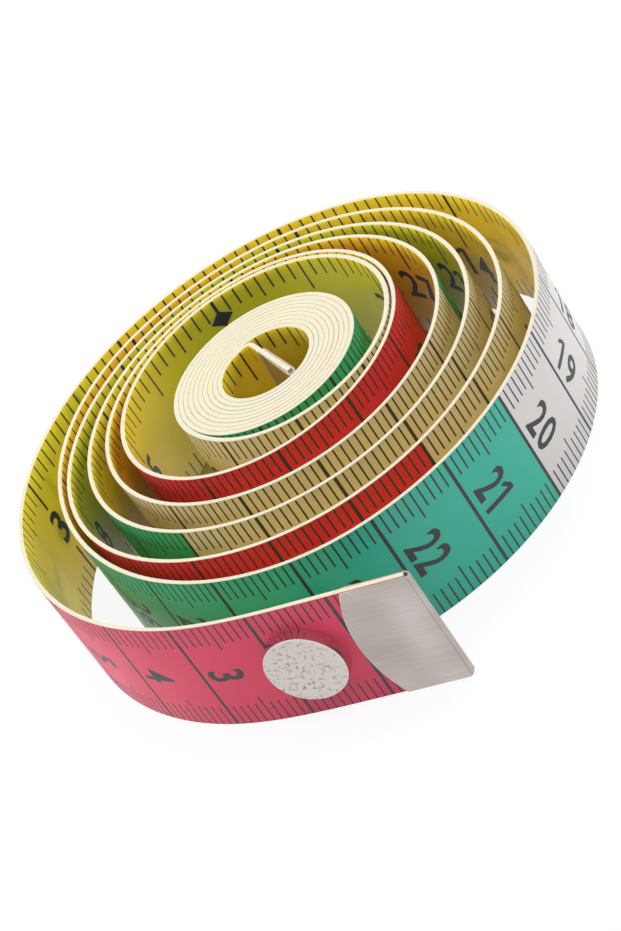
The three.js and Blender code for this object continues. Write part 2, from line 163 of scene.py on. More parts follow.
# The tight heart takes up the length that the loose turns leave. Its turns are found by halving.
HALVINGS = 40
ROUGH_STEPS, FINE_STEPS = 120, 600
fewest, most = 0.0, 30.0
for _ in range(HALVINGS):
    heart_turns = (fewest + most) / 2
    line = centre_line(heart_turns, ROUGH_STEPS)
    if np.linalg.norm(np.diff(line, axis=0), axis=1).sum() < TAPE_LENGTH:
        fewest = heart_turns
    else:
        most = heart_turns
path = centre_line(fewest, FINE_STEPS)[::-1] + COIL_PLACE
steps = np.linalg.norm(np.diff(path, axis=0), axis=1)
path_run = np.concatenate([[0], np.cumsum(steps)])
path_run *= TAPE_LENGTH / path_run[-1]
towards_tip = -np.gradient(path, path_run, axis=0)
path_angle = np.unwrap(np.arctan2(towards_tip[:, 1], towards_tip[:, 0]))


def station(run):
    """Place on the centre line, way towards the outer tip, and way out of the printed face."""
    place = np.stack([np.interp(run, path_run, path[:, 0]), np.interp(run, path_run, path[:, 1])], -1)
    angle = np.interp(run, path_run, path_angle)
    return place, heading(angle), heading(angle - math.pi / 2)


def thickness(run):
    """The tape as it is drawn: its own thickness, and fuller in the ferrules and in the tight heart,
    where the solids keep the turns apart."""
    return np.interp(run, THICKNESS_RUNS, [TAPE_FULL, TAPE_SHOWN, TAPE_SHOWN, TAPE_FULL])


# The outer turn bends on six hinge lines, so the tape is made in eight lengths that meet between them.
BODIES = ["coil", "stretch_1", "stretch_2", "stretch_3", "stretch_4", "stretch_5", "end"]
FIRST_HINGE, STRETCH = 197.4, 30  # in millimetres on the scale
HINGES = [(FIRST_HINGE - STRETCH * i) * MM for i in range(len(BODIES) - 1)]
HALF_STRETCH = STRETCH / 2 * MM
SEAM = 0.03 * MM  # each length reaches this far into the next, so that no line shows
IN_FOLD = 0.7 * MM  # what the fold of each ferrule takes up
lengths = [("coil", HINGES[0] + HALF_STRETCH - SEAM, TAPE_LENGTH - IN_FOLD, ["coil"], ["tape_coil"])]
for i, hinge in enumerate(HINGES):
    pair = BODIES[i:i + 2]
    stands_for = [] if "end" in pair else [f"tape_{pair[1]}"]
    lengths.append((f"bend_{i + 1}", hinge - HALF_STRETCH - SEAM, hinge + HALF_STRETCH, pair, stands_for))
lengths.append(("end", IN_FOLD, HINGES[-1] - HALF_STRETCH, ["end"], ["tape_end"]))


def go_with(piece, bodies):
    """A length of tape, or what is printed on it, rides on one body; one that lies between two keeps its
    place and rides on none.
    """
    if len(bodies) == 1:
        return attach(piece, bodies[0])
    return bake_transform(piece)


def linear(hex_colour):
    """sRGB hex to the linear colour that shaders take."""
    shares = [int(hex_colour[i:i + 2], 16) / 255 for i in (1, 3, 5)]
    return (*[c / 12.92 if c <= 0.04045 else ((c + 0.055) / 1.055) ** 2.4 for c in shares], 1)


def add(tree, kind, sockets=None, **settings):
    """One node with its settings, its links and its values by socket."""
    made = tree.nodes.new(kind)
    for name, value in settings.items():
        setattr(made, name, value)
    for key, value in (sockets or {}).items():
        if isinstance(value, bpy.types.NodeSocket):
            tree.links.new(value, made.inputs[key])
        else:
            made.inputs[key].default_value = value
    return made


def new_material(name):
    """A material with an empty node tree."""
    material = bpy.data.materials.new(name)
    material.use_nodes = True
    tree = material.node_tree
    tree.nodes.clear()
    return material, tree


def coated_cloth(name, colour, worn, painted_bounce, lets_through=0.0):
    """Glass cloth under a satin coating: even colour, faint weave in the gloss, slightly mottled.
    Light that falls on the other face glows through a coating that isn't dense. Over the inner turns
    a little yellow is painted into the colour: painted light, as if bounced off the yellow face they lie
    against."""
    THREAD = 0.5 * MM  # real threads lie about 0.3 mm apart, drawn coarser so that the weave shows
    THREAD_RISE, WEAVE_STRENGTH = 0.02 * MM, 0.12
    WAVE_AT_SCALE_ONE = math.pi / 10
    MOTTLE = 6 * MM
    MOTTLE_LOW, MOTTLE_HIGH = 0.3, 0.7
    GLOSSIEST, DULLEST = 0.36, 0.46
    # painted yellow bounce light fades in between these two runs from the outer tip
    BOUNCE_STARTS, BOUNCE_FULL = 240 * MM, 290 * MM
    GLOW_REACH = 1.4 * MM
    COATING_IOR = 1.5
    material, tree = new_material(name)
    place = add(tree, "ShaderNodeUVMap", uv_map="UVMap").outputs[0]
    warp, weft = [
        add(tree, "ShaderNodeTexWave", {"Vector": place, "Scale": WAVE_AT_SCALE_ONE / THREAD},
            bands_direction=way).outputs[1] for way in ("X", "Y")]
    weave = add(tree, "ShaderNodeMath", {0: warp, 1: weft}, operation="MAXIMUM").outputs[0]
    mottle = add(tree, "ShaderNodeTexNoise", {
        "Vector": place, "Scale": 1 / MOTTLE, "Detail": 4.0}).outputs[0]
    tint = add(tree, "ShaderNodeMix", {0: mottle, 6: linear(colour), 7: linear(worn)},
               data_type="RGBA").outputs[2]
    run = add(tree, "ShaderNodeSeparateXYZ", {0: place}).outputs[0]
    # share of painted yellow bounce light, growing over the inner turns
    inner = add(tree, "ShaderNodeMapRange", {0: run, 1: BOUNCE_STARTS, 2: BOUNCE_FULL}).outputs[0]
    tint = add(tree, "ShaderNodeMix", {0: inner, 6: tint, 7: linear(painted_bounce)},
               data_type="RGBA", blend_type="MULTIPLY").outputs[2]
    gloss = add(tree, "ShaderNodeMapRange", {
        0: mottle, 1: MOTTLE_LOW, 2: MOTTLE_HIGH, 3: GLOSSIEST, 4: DULLEST}).outputs[0]
    bump = add(tree, "ShaderNodeBump", {
        "Strength": WEAVE_STRENGTH, "Distance": THREAD_RISE, "Height": weave}).outputs[0]
    shader = add(tree, "ShaderNodeBsdfPrincipled", {
        "Base Color": tint, "Roughness": gloss, "Normal": bump, "IOR": COATING_IOR,
        "Subsurface Weight": lets_through, "Subsurface Radius": (1.0, 1.0, 1.0),
        "Subsurface Scale": GLOW_REACH})
    add(tree, "ShaderNodeOutputMaterial", {0: shader.outputs[0]})
    return material


def cut_edge(name, pale, deep):
    """Slit edge of the cloth: pale glass fibre and coating, dull, with faint flecks along the cut."""
    FLECK = 3 * MM
    DULL = 0.65
    FIBRE_IOR = 1.45
    material, tree = new_material(name)
    place = add(tree, "ShaderNodeUVMap", uv_map="UVMap").outputs[0]
    flecks = add(tree, "ShaderNodeTexNoise", {
        "Vector": place, "Scale": 1 / FLECK, "Detail": 6.0}).outputs[0]
    tint = add(tree, "ShaderNodeMix", {0: flecks, 6: linear(pale), 7: linear(deep)},
               data_type="RGBA").outputs[2]
    shader = add(tree, "ShaderNodeBsdfPrincipled", {
        "Base Color": tint, "Roughness": DULL, "IOR": FIBRE_IOR})
    add(tree, "ShaderNodeOutputMaterial", {0: shader.outputs[0]})
    return material


# Painted yellow bounce light on the coloured faces of the inner turns; the yellow faces get none.
PAINTED_YELLOW_BOUNCE, NO_PAINTED_BOUNCE = "#fdf5ca", "#ffffff"
YELLOW_LETS_THROUGH = 0.9
tape_red = coated_cloth("coated_glass_cloth_red", "#d02d51", "#d6385a", PAINTED_YELLOW_BOUNCE)
tape_white = coated_cloth("coated_glass_cloth_white", "#dad6d4", "#d4cfce", PAINTED_YELLOW_BOUNCE)
tape_green = coated_cloth("coated_glass_cloth_green", "#30b098", "#38b8a0", PAINTED_YELLOW_BOUNCE)
tape_yellow = coated_cloth(
    "coated_glass_cloth_yellow", "#f4d53c", "#eecd36", NO_PAINTED_BOUNCE, lets_through=YELLOW_LETS_THROUGH)
tape_edge = cut_edge("slit_cloth_edge", "#d1cab5", "#c9c2ab")


def node_tree(name, inputs):
    """A Geometry Nodes tree with its named inputs, and the identifier of each."""
    tree = bpy.data.node_groups.new(name, "GeometryNodeTree")
    tree.interface.new_socket("Geometry", in_out="INPUT", socket_type="NodeSocketGeometry")
    tree.interface.new_socket("Geometry", in_out="OUTPUT", socket_type="NodeSocketGeometry")
    named = {}
    for label, kind in inputs:
        made = tree.interface.new_socket(label, in_out="INPUT", socket_type="NodeSocket" + kind)
        named[label] = made.identifier
    return tree, named


def band_tree():
    """The tape: a rounded strip drawn along its centre line, its faces coloured in blocks.
    A station says how much fuller than the strip the tape is there, and the sides move out by that."""
    COLOURS = ("Red", "White", "Green", "White")
    SQUARELY = 0.93  # what faces in or out by this much is a face of the tape, and the rest is cut edge
    CORNER_STEPS = 3
    SAME_WITHIN = 0.1
    tree, named = node_tree("tape_band", [
        ("Width", "Float"), ("Thickness", "Float"), ("Corner", "Float"), ("Block", "Float"),
        ("Red", "Material"), ("White", "Material"), ("Green", "Material"), ("Yellow", "Material"),
        ("Edge", "Material")])
    given = add(tree, "NodeGroupInput").outputs
    line = add(tree, "GeometryNodeMeshToCurve", {"Mesh": given["Geometry"]})
    upright = add(tree, "GeometryNodeSetCurveNormal", {"Curve": line.outputs[0]}, mode="Z_UP")
    outline = add(tree, "GeometryNodeCurvePrimitiveQuadrilateral", {
        "Width": given["Thickness"], "Height": given["Width"]})
    rounded = add(tree, "GeometryNodeFilletCurve", {
        "Curve": outline.outputs[0], "Count": CORNER_STEPS, "Radius": given["Corner"]}, mode="POLY")
    strip = add(tree, "GeometryNodeCurveToMesh", {
        "Curve": upright.outputs[0], "Profile Curve": rounded.outputs[0], "Fill Caps": True})
    run, excess = [
        add(tree, "GeometryNodeInputNamedAttribute", {"Name": label}, data_type="FLOAT").outputs[0]
        for label in ("run", "excess")]
    out, middle = [
        add(tree, "GeometryNodeInputNamedAttribute", {"Name": label}, data_type="FLOAT_VECTOR").outputs[0]
        for label in ("out", "middle")]
    corner = add(tree, "GeometryNodeInputPosition").outputs[0]
    aside = add(tree, "ShaderNodeVectorMath", {0: corner, 1: middle}, operation="SUBTRACT").outputs[0]
    depth = add(tree, "ShaderNodeVectorMath", {0: aside, 1: out}, operation="DOT_PRODUCT").outputs["Value"]
    push = add(tree, "ShaderNodeMath", {0: depth, 1: excess}, operation="MULTIPLY").outputs[0]
    pushed = add(tree, "ShaderNodeVectorMath", {0: out, "Scale": push}, operation="SCALE").outputs[0]
    strip = add(tree, "GeometryNodeSetPosition", {"Geometry": strip.outputs[0], "Offset": pushed})
    height = add(tree, "ShaderNodeSeparateXYZ", {0: corner}).outputs[2]
    unrolled = add(tree, "ShaderNodeCombineXYZ", {0: run, 1: height})
    mapped = add(tree, "GeometryNodeStoreNamedAttribute", {
        "Geometry": strip.outputs[0], "Name": "UVMap", "Value": unrolled.outputs[0]},
        data_type="FLOAT2", domain="CORNER")
    faces = add(tree, "GeometryNodeInputNormal").outputs[0]
    facing = add(tree, "ShaderNodeVectorMath", {0: faces, 1: out}, operation="DOT_PRODUCT").outputs["Value"]
    printed = add(tree, "ShaderNodeMath", {0: facing, 1: SQUARELY}, operation="GREATER_THAN").outputs[0]
    inside = add(tree, "ShaderNodeMath", {0: facing, 1: -SQUARELY}, operation="LESS_THAN").outputs[0]
    block = add(tree, "ShaderNodeMath", {0: run, 1: given["Block"]}, operation="DIVIDE").outputs[0]
    whole = add(tree, "ShaderNodeMath", {0: block}, operation="FLOOR").outputs[0]
    place = add(tree, "ShaderNodeMath", {0: whole, 1: float(len(COLOURS))},
                operation="FLOORED_MODULO").outputs[0]
    shape = add(tree, "GeometryNodeRealizeInstances", {0: mapped.outputs[0]}).outputs[0]
    shape = add(tree, "GeometryNodeSetMaterial", {"Geometry": shape, "Material": given["Edge"]}).outputs[0]
    shape = add(tree, "GeometryNodeSetMaterial", {
        "Geometry": shape, "Selection": inside, "Material": given["Yellow"]}).outputs[0]
    for i, colour in enumerate(COLOURS):
        same = add(tree, "ShaderNodeMath", {0: place, 1: float(i), 2: SAME_WITHIN}, operation="COMPARE")
        chosen = add(tree, "ShaderNodeMath", {0: same.outputs[0], 1: printed}, operation="MULTIPLY")
        shape = add(tree, "GeometryNodeSetMaterial", {
            "Geometry": shape, "Selection": chosen.outputs[0], "Material": given[colour]}).outputs[0]
    add(tree, "NodeGroupOutput", {0: shape})
    return tree, named


def linked(name, data):
    """A new object in the scene, at the origin."""
    made = bpy.data.objects.new(name, data)
    bpy.context.scene.collection.objects.link(made)
    return made


def grown(name, mesh, tree, named, values):
    """The plain mesh that a tree grows from a mesh, as a new object with no modifier left."""
    piece = linked(name, mesh)
    modifier = piece.modifiers.new(name, "NODES")
    modifier.node_group = tree
    for label, value in values.items():
        modifier[named[label]] = value
    depsgraph = bpy.context.evaluated_depsgraph_get()
    shape = bpy.data.meshes.new_from_object(
        piece.evaluated_get(depsgraph), preserve_all_data_layers=True, depsgraph=depsgraph)
    piece.modifiers.remove(modifier)
    piece.data = shape
    return piece


def with_stations(points, carried, edges=()):
    """A bare mesh of points in space that carries named numbers and vectors."""
    mesh = bpy.data.meshes.new("stations")
    mesh.from_pydata([tuple(p) for p in points], edges, [])
    for name, values in carried.items():
        kind, field = ("FLOAT_VECTOR", "vector") if values.ndim == 2 else ("FLOAT", "value")
        made = mesh.attributes.new(name, kind, "POINT")
        made.data.foreach_set(field, values.astype(np.float32).ravel())
    return mesh


def in_space(flat, height=0.0):
    """Points or vectors of the plane, at a height."""
    return np.column_stack([flat, np.full(len(flat), height)])


BLOCK_LENGTH = 100 * MM
STATION_STEP = 0.5 * MM
CORNER = 0.07 * MM
SHARP = math.radians(12)
tape_tree, tape_inputs = band_tree()
for name, near_tip, near_eye, bodies, stands_for in lengths:
    blocks = np.arange(math.ceil(near_tip / BLOCK_LENGTH), math.floor(near_eye / BLOCK_LENGTH) + 1)
    borders = np.unique(np.concatenate([[near_tip], blocks * BLOCK_LENGTH, [near_eye]]))
    runs = [borders[:1]]
    for start, stop in zip(borders[:-1], borders[1:]):
        runs.append(np.linspace(start, stop, max(2, math.ceil((stop - start) / STATION_STEP)) + 1)[1:])
    runs = np.concatenate(runs)
    place, _, out = station(runs)
    middle = in_space(place, TAPE_WIDTH / 2)
    excess = thickness(runs) / TAPE_SHOWN - 1
    line = with_stations(middle, {"run": runs, "out": in_space(out), "middle": middle, "excess": excess},
                         [(i, i + 1) for i in range(len(runs) - 1)])
    band = grown(f"band_{name}", line, tape_tree, tape_inputs, {
        "Width": TAPE_WIDTH, "Thickness": TAPE_SHOWN, "Corner": CORNER, "Block": BLOCK_LENGTH,
        "Red": tape_red, "White": tape_white, "Green": tape_green, "Yellow": tape_yellow,
        "Edge": tape_edge})
    band.data.set_sharp_from_angle(angle=SHARP)
    go_with(band, bodies)
    if stands_for:
        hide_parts(*stands_for)


# Printed scales: black ink screen-printed on the coating, centimetres on the outer face, inches inside.
# Both count from the outer tip. Ticks run in from both edges, and every centimetre has a full line.
# The ink is a film of about a hundredth of a millimetre, made as thin solids half sunk in the coating.
INK_FILM = 0.014 * MM
INK_FROM_EDGE = 0.1 * MM


def printing_ink(name, thick, thin):
    """Screen ink: near black with a little sheen, thin enough to look slightly uneven."""
    PATCH = 1.5 * MM
    SHEEN = 0.45
    INK_IOR = 1.5
    material, tree = new_material(name)
    place = add(tree, "ShaderNodeTexCoord").outputs["Object"]
    uneven = add(tree, "ShaderNodeTexNoise", {
        "Vector": place, "Scale": 1 / PATCH, "Detail": 2.0}).outputs[0]
    tint = add(tree, "ShaderNodeMix", {0: uneven, 6: linear(thick), 7: linear(thin)},
               data_type="RGBA").outputs[2]
    shader = add(tree, "ShaderNodeBsdfPrincipled", {
        "Base Color": tint, "Roughness": SHEEN, "IOR": INK_IOR})
    add(tree, "ShaderNodeOutputMaterial", {0: shader.outputs[0]})
    return material


ink = printing_ink("screen_printed_ink", "#26262a", "#3a3a40")


def tick_tree():
    """Ticks at counted stations on a face: short, middle or long by their count, from both edges."""
    ON_COUNT = 0.5  # a count that leaves less than this is one of those that the level is for
    tree, named = node_tree("scale_ticks", [
        ("Tape width", "Float"), ("Margin", "Float"), ("Film", "Float"), ("Tick width", "Float"),
        ("Line width", "Float"), ("Short", "Float"), ("Middle", "Float"), ("Long", "Float"),
        ("Middle every", "Float"), ("Long every", "Float"), ("Line every", "Float"), ("Ink", "Material")])
    given = add(tree, "NodeGroupInput").outputs
    count = add(tree, "GeometryNodeInputNamedAttribute", {"Name": "count"}, data_type="FLOAT").outputs[0]
    out = add(tree, "GeometryNodeInputNamedAttribute", {"Name": "out"},
              data_type="FLOAT_VECTOR").outputs[0]
    level = {}
    for label in ("Middle every", "Long every", "Line every"):
        rest = add(tree, "ShaderNodeMath", {0: count, 1: given[label]}, operation="FLOORED_MODULO")
        level[label] = add(tree, "ShaderNodeMath", {0: rest.outputs[0], 1: ON_COUNT},
                           operation="LESS_THAN").outputs[0]
    size = add(tree, "ShaderNodeMix", {
        0: level["Middle every"], 2: given["Short"], 3: given["Middle"]}).outputs[0]
    size = add(tree, "ShaderNodeMix", {0: level["Long every"], 2: size, 3: given["Long"]}).outputs[0]
    width = add(tree, "ShaderNodeMix", {
        0: level["Line every"], 2: given["Tick width"], 3: given["Line width"]}).outputs[0]
    size = add(tree, "ShaderNodeMath", {0: size, 1: given["Margin"]}, operation="SUBTRACT").outputs[0]
    middle = add(tree, "ShaderNodeMath", {0: size, 1: 0.5, 2: given["Margin"]},
                 operation="MULTIPLY_ADD").outputs[0]
    from_top = add(tree, "ShaderNodeMath", {0: given["Tape width"], 1: middle},
                   operation="SUBTRACT").outputs[0]
    turn = add(tree, "FunctionNodeAxesToRotation", {0: (0.0, 0.0, 1.0), 1: out},
               primary_axis="Z", secondary_axis="X").outputs[0]
    scale = add(tree, "ShaderNodeCombineXYZ", {0: given["Film"], 1: width, 2: size}).outputs[0]
    bar = add(tree, "GeometryNodeMeshCube", {"Size": (1.0, 1.0, 1.0)}).outputs[0]
    rows = add(tree, "GeometryNodeJoinGeometry")
    for height in (middle, from_top):
        lift = add(tree, "ShaderNodeCombineXYZ", {2: height}).outputs[0]
        moved = add(tree, "GeometryNodeSetPosition", {"Geometry": given["Geometry"], "Offset": lift})
        ticks = add(tree, "GeometryNodeInstanceOnPoints", {
            "Points": moved.outputs[0], "Instance": bar, "Rotation": turn, "Scale": scale})
        tree.links.new(ticks.outputs[0], rows.inputs[0])
    shape = add(tree, "GeometryNodeRealizeInstances", {0: rows.outputs[0]}).outputs[0]
    shape = add(tree, "GeometryNodeSetMaterial", {"Geometry": shape, "Material": given["Ink"]}).outputs[0]
    add(tree, "NodeGroupOutput", {0: shape})
    return tree, named


def figure_mesh(digit):
    """A figure in the built-in typeface, one unit deep, with its lowest and highest corner."""
    FATTER = 0.02
    CURVE_STEPS = 3
    MERGE = 1e-4
    text = bpy.data.curves.new("figure", "FONT")
    text.body = digit
    text.offset = FATTER
    text.extrude = 0.5
    text.resolution_u = CURVE_STEPS
    maker = linked("figure", text)
    depsgraph = bpy.context.evaluated_depsgraph_get()
    mesh = bpy.data.meshes.new_from_object(maker.evaluated_get(depsgraph))
    bpy.data.objects.remove(maker)
    shape = bmesh.new()
    shape.from_mesh(mesh)
    bpy.data.meshes.remove(mesh)
    bmesh.ops.remove_doubles(shape, verts=shape.verts, dist=MERGE)
    spots = np.array([v.co for v in shape.verts])
    return shape, spots.min(0), spots.max(0)


zero, zero_low, zero_high = figure_mesh("0")
zero.free()
FIGURE_MIDDLE = (zero_low[0] + zero_high[0]) / 2


def digit_shape(digit, tall, wide, cut_across):
    """A figure of the scale as a thin flat solid about its middle line, cut so that it can bend.
    The typeface's 1 is a bare stroke, so it gets a flag."""
    CUT = 0.6 * MM
    FLAG_TOP, FLAG_END, FLAG_STROKE = 1.0, 0.84, 0.15  # shares of the height
    FLAG_REACH = 0.42  # share of the width
    ON_PLANE = 1e-7
    shape, _, _ = figure_mesh(digit)
    for v in shape.verts:
        v.co.x = (v.co.x - FIGURE_MIDDLE) / (zero_high[0] - zero_low[0]) * wide
        v.co.y = (v.co.y - zero_low[1]) / (zero_high[1] - zero_low[1]) * tall
        v.co.z *= INK_FILM
    if digit == "1":
        left = min(v.co.x for v in shape.verts)
        end = left - FLAG_REACH * wide
        flag = [(left, FLAG_TOP), (end, FLAG_END), (end, FLAG_END - FLAG_STROKE),
                (left, FLAG_TOP - FLAG_STROKE)]
        above, below = [
            [shape.verts.new((x, y * tall, side * INK_FILM / 2)) for x, y in flag] for side in (1, -1)]
        shape.faces.new(above)
        shape.faces.new(below[::-1])
        for k in range(len(flag)):
            after = (k + 1) % len(flag)
            shape.faces.new((above[k], below[k], below[after], above[after]))
    if cut_across:
        way, start, stop = Vector((0, 1, 0)), 0, tall
    else:
        way, start, stop = Vector((1, 0, 0)), -wide / 2, wide / 2
    for cut in np.arange(start + CUT, stop, CUT):
        everything = shape.verts[:] + shape.edges[:] + shape.faces[:]
        bmesh.ops.bisect_plane(shape, geom=everything, plane_co=way * cut, plane_no=way, dist=ON_PLANE)
    spots = np.array([v.co for v in shape.verts])
    shape.verts.index_update()
    faces = [[v.index for v in face.verts] for face in shape.faces]
    shape.free()
    return spots, faces


class Scale:
    """One printed scale: the side it is on, how its ticks are spaced and how its figures stand."""

    def __init__(self, name, side, step, every, tall, wide, pitch, ticks):
        self.name, self.side, self.step, self.every = name, side, step, every
        self.tall, self.pitch, self.ticks = tall, pitch, ticks
        self.figures = {digit: digit_shape(digit, tall, wide, side > 0) for digit in "0123456789"}


INCH = 25.4 * MM
FIGURE_BACK = 0.9 * MM  # from a centimetre line back to the foot of its figures
FIGURE_FOOT = 6.2 * MM  # height of the foot of an inch figure above the lower edge
centimetres = Scale(
    "centimetre_print", side=1, step=1 * MM, every=10, tall=4.6 * MM, wide=2.1 * MM, pitch=2.4 * MM,
    ticks={
        "Tick width": 0.21 * MM, "Line width": 0.42 * MM, "Short": 3.05 * MM, "Middle": 4.05 * MM,
        "Long": TAPE_WIDTH / 2, "Middle every": 5.0, "Long every": 10.0, "Line every": 10.0})
inches = Scale(
    "inch_print", side=-1, step=INCH / 16, every=16, tall=4.5 * MM, wide=3.1 * MM, pitch=3.5 * MM,
    ticks={
        "Tick width": 0.22 * MM, "Line width": 0.42 * MM, "Short": 2.6 * MM, "Middle": 3.3 * MM,
        "Long": 4.7 * MM, "Middle every": 4.0, "Long every": 8.0, "Line every": 16.0})


def figures_of(scale, near_tip, near_eye):
    """All numbers that stand on one length of the tape, bent to its centre line."""
    spots, faces = [], []
    unit = scale.step * scale.every
    for number in range(1, math.floor(TAPE_LENGTH / unit) + 1):
        middle = number * unit - (FIGURE_BACK + scale.tall / 2 if scale.side > 0 else 0)
        if not near_tip <= middle < near_eye:
            continue
        digits = str(number)
        for i, digit in enumerate(digits):
            flat, sides = scale.figures[digit]
            across = (i - (len(digits) - 1) / 2) * scale.pitch + flat[:, 0]
            if scale.side > 0:
                run, height = number * unit - FIGURE_BACK - flat[:, 1], TAPE_WIDTH / 2 - across
            else:
                run, height = number * unit + across, FIGURE_FOOT + flat[:, 1]
            place, _, out = station(run)
            rise = scale.side * (thickness(run) / 2 + flat[:, 2])
            first = sum(map(len, spots))
            spots.append(np.column_stack([place + out * rise[:, None], height]))
            faces += [[first + k for k in side] for side in sides]
    return (np.vstack(spots) if spots else np.zeros((0, 3))), faces


def yard_mark():
    """A lozenge under the line at 36 inches, bent to the centre line, on the inch face."""
    YARD = 36 * INCH
    HALF_WIDE, HALF_TALL, MIDDLE = 1.6 * MM, 1.2 * MM, 13.0 * MM
    BLUNT = 0.05  # share of its height that is left at its two ends
    COLUMNS = 9
    share = np.linspace(-1, 1, COLUMNS)
    run = YARD + share * HALF_WIDE
    tall = np.maximum(1 - np.abs(share), BLUNT) * HALF_TALL
    place, _, out = station(run)
    corners = []
    for side, way in ((-1, -1), (-1, 1), (1, 1), (1, -1)):
        rise = -(thickness(run) / 2 + side * INK_FILM / 2)
        corners.append(np.column_stack([place + out * rise[:, None], MIDDLE + way * tall]))
    spots = np.vstack(corners)
    faces = [[k * COLUMNS for k in range(4)], [(k + 1) * COLUMNS - 1 for k in (3, 2, 1, 0)]]
    for k in range(4):
        here, after = k * COLUMNS, (k + 1) % 4 * COLUMNS
        faces += [[here + i, here + i + 1, after + i + 1, after + i] for i in range(COLUMNS - 1)]
    return spots, faces


scale_tree, scale_inputs = tick_tree()
for name, near_tip, near_eye, bodies, _ in lengths:
    for scale in (centimetres, inches):
        first = math.ceil(max(near_tip, scale.step) / scale.step)
        counts = np.arange(first, math.ceil(near_eye / scale.step))
        runs = counts * scale.step
        place, _, out = station(runs)
        out = out * scale.side
        on_face = place + out * thickness(runs)[:, None] / 2
        marks = with_stations(in_space(on_face), {"count": counts, "out": in_space(out)})
        drawn = grown(f"{scale.name}_{name}", marks, scale_tree, scale_inputs, {
            "Tape width": TAPE_WIDTH, "Margin": INK_FROM_EDGE, "Film": INK_FILM, "Ink": ink,
            **scale.ticks})
        spots, faces = figures_of(scale, near_tip, near_eye)
        if scale is inches and name == "coil":
            mark, sides = yard_mark()
            faces += [[len(spots) + k for k in side] for side in sides]
            spots = np.vstack([spots, mark])
        numbers = bpy.data.meshes.new("numbers")
        numbers.from_pydata([tuple(p) for p in spots], [], faces)
        both = bmesh.new()
        both.from_mesh(drawn.data)
        both.from_mesh(numbers)
        for face in both.faces:
            face.material_index = 0
        both.to_mesh(drawn.data)
        both.free()
        drawn.data.materials.clear()
        drawn.data.materials.append(ink)
        bpy.data.meshes.remove(numbers)
        go_with(drawn, bodies)


# Ferrules: a strip of nickel-plated steel folded over each end of the tape and crimped flat.
# The sheet is brushed along the tape before plating, and its inner edge is cut to a bow.
def brushed_nickel(name, turned, tone, tone_low):
    """Nickel plate over brushed steel: warm grey metal with fine lines that stretch each highlight,
    and broad patches, laid at random, that are a little darker."""
    LINE_LENGTH, LINE_WIDTH = 5 * MM, 0.18 * MM  # real lines are finer, drawn wide so that they show
    LINE_DEPTH, LINE_STRENGTH = 0.01 * MM, 0.15
    LINE_LOW, LINE_HIGH = 0.3, 0.7
    GLOSS_LOW, GLOSS_HIGH = 0.25, 0.75
    SATIN, SATIN_SPREAD = 0.42, 0.06
    PATCH, PATCH_TONE = 9 * MM, "#e4dfdc"
    PATCH_LOW, PATCH_HIGH = 0.35, 0.65
    material, tree = new_material(name)
    place = add(tree, "ShaderNodeTexCoord").outputs["Object"]
    laid = add(tree, "ShaderNodeMapping", {
        "Vector": place, "Rotation": (0, 0, turned), "Scale": (LINE_LENGTH, LINE_WIDTH, LINE_WIDTH)},
        vector_type="TEXTURE").outputs[0]
    lines = add(tree, "ShaderNodeTexNoise", {"Vector": laid, "Scale": 1.0, "Detail": 3.0}).outputs[0]
    share = add(tree, "ShaderNodeMapRange", {0: lines, 1: LINE_LOW, 2: LINE_HIGH}).outputs[0]
    tint = add(tree, "ShaderNodeMix", {0: share, 6: linear(tone_low), 7: linear(tone)},
               data_type="RGBA").outputs[2]
    patches = add(tree, "ShaderNodeTexNoise", {
        "Vector": place, "Scale": 1 / PATCH, "Detail": 1.0}).outputs[0]
    dull = add(tree, "ShaderNodeMapRange", {0: patches, 1: PATCH_LOW, 2: PATCH_HIGH}).outputs[0]
    tint = add(tree, "ShaderNodeMix", {0: dull, 6: tint, 7: linear(PATCH_TONE)},
               data_type="RGBA", blend_type="MULTIPLY").outputs[2]
    gloss = add(tree, "ShaderNodeMapRange", {
        0: lines, 1: GLOSS_LOW, 2: GLOSS_HIGH,
        3: SATIN - SATIN_SPREAD, 4: SATIN + SATIN_SPREAD}).outputs[0]
    bump = add(tree, "ShaderNodeBump", {
        "Strength": LINE_STRENGTH, "Distance": LINE_DEPTH, "Height": lines}).outputs[0]
    shader = add(tree, "ShaderNodeBsdfPrincipled", {
        "Base Color": tint, "Metallic": 1.0, "Roughness": gloss, "Normal": bump})
    add(tree, "ShaderNodeOutputMaterial", {0: shader.outputs[0]})
    return material


def softened(name, node, bevel, material, edge, rounded):
    """A copy of a CAD piece with its facets joined and its cut edges broken, as its own mesh."""
    MERGE = 1e-6
    FLAT, CORNER_ANGLE, CREASE = math.radians(1), math.radians(50), math.radians(40)
    shape = bmesh.new()
    shape.from_mesh(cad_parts[node].data)
    bmesh.ops.remove_doubles(shape, verts=shape.verts, dist=MERGE)
    bmesh.ops.dissolve_limit(shape, angle_limit=FLAT, verts=shape.verts, edges=shape.edges)
    sharp = [e for e in shape.edges if len(e.link_faces) == 2 and e.calc_face_angle() > CORNER_ANGLE]
    bmesh.ops.bevel(shape, geom=sharp, offset=bevel, segments=2, affect="EDGES", clamp_overlap=False,
                    material=1)
    bmesh.ops.triangulate(shape, faces=[f for f in shape.faces if len(f.verts) > 4])
    mesh = bpy.data.meshes.new(name)
    shape.to_mesh(mesh)
    shape.free()
    mesh.materials.append(material)
    mesh.materials.append(edge)
    if rounded:
        mesh.shade_smooth()
        mesh.set_sharp_from_angle(angle=CREASE)
    return linked(name, mesh)


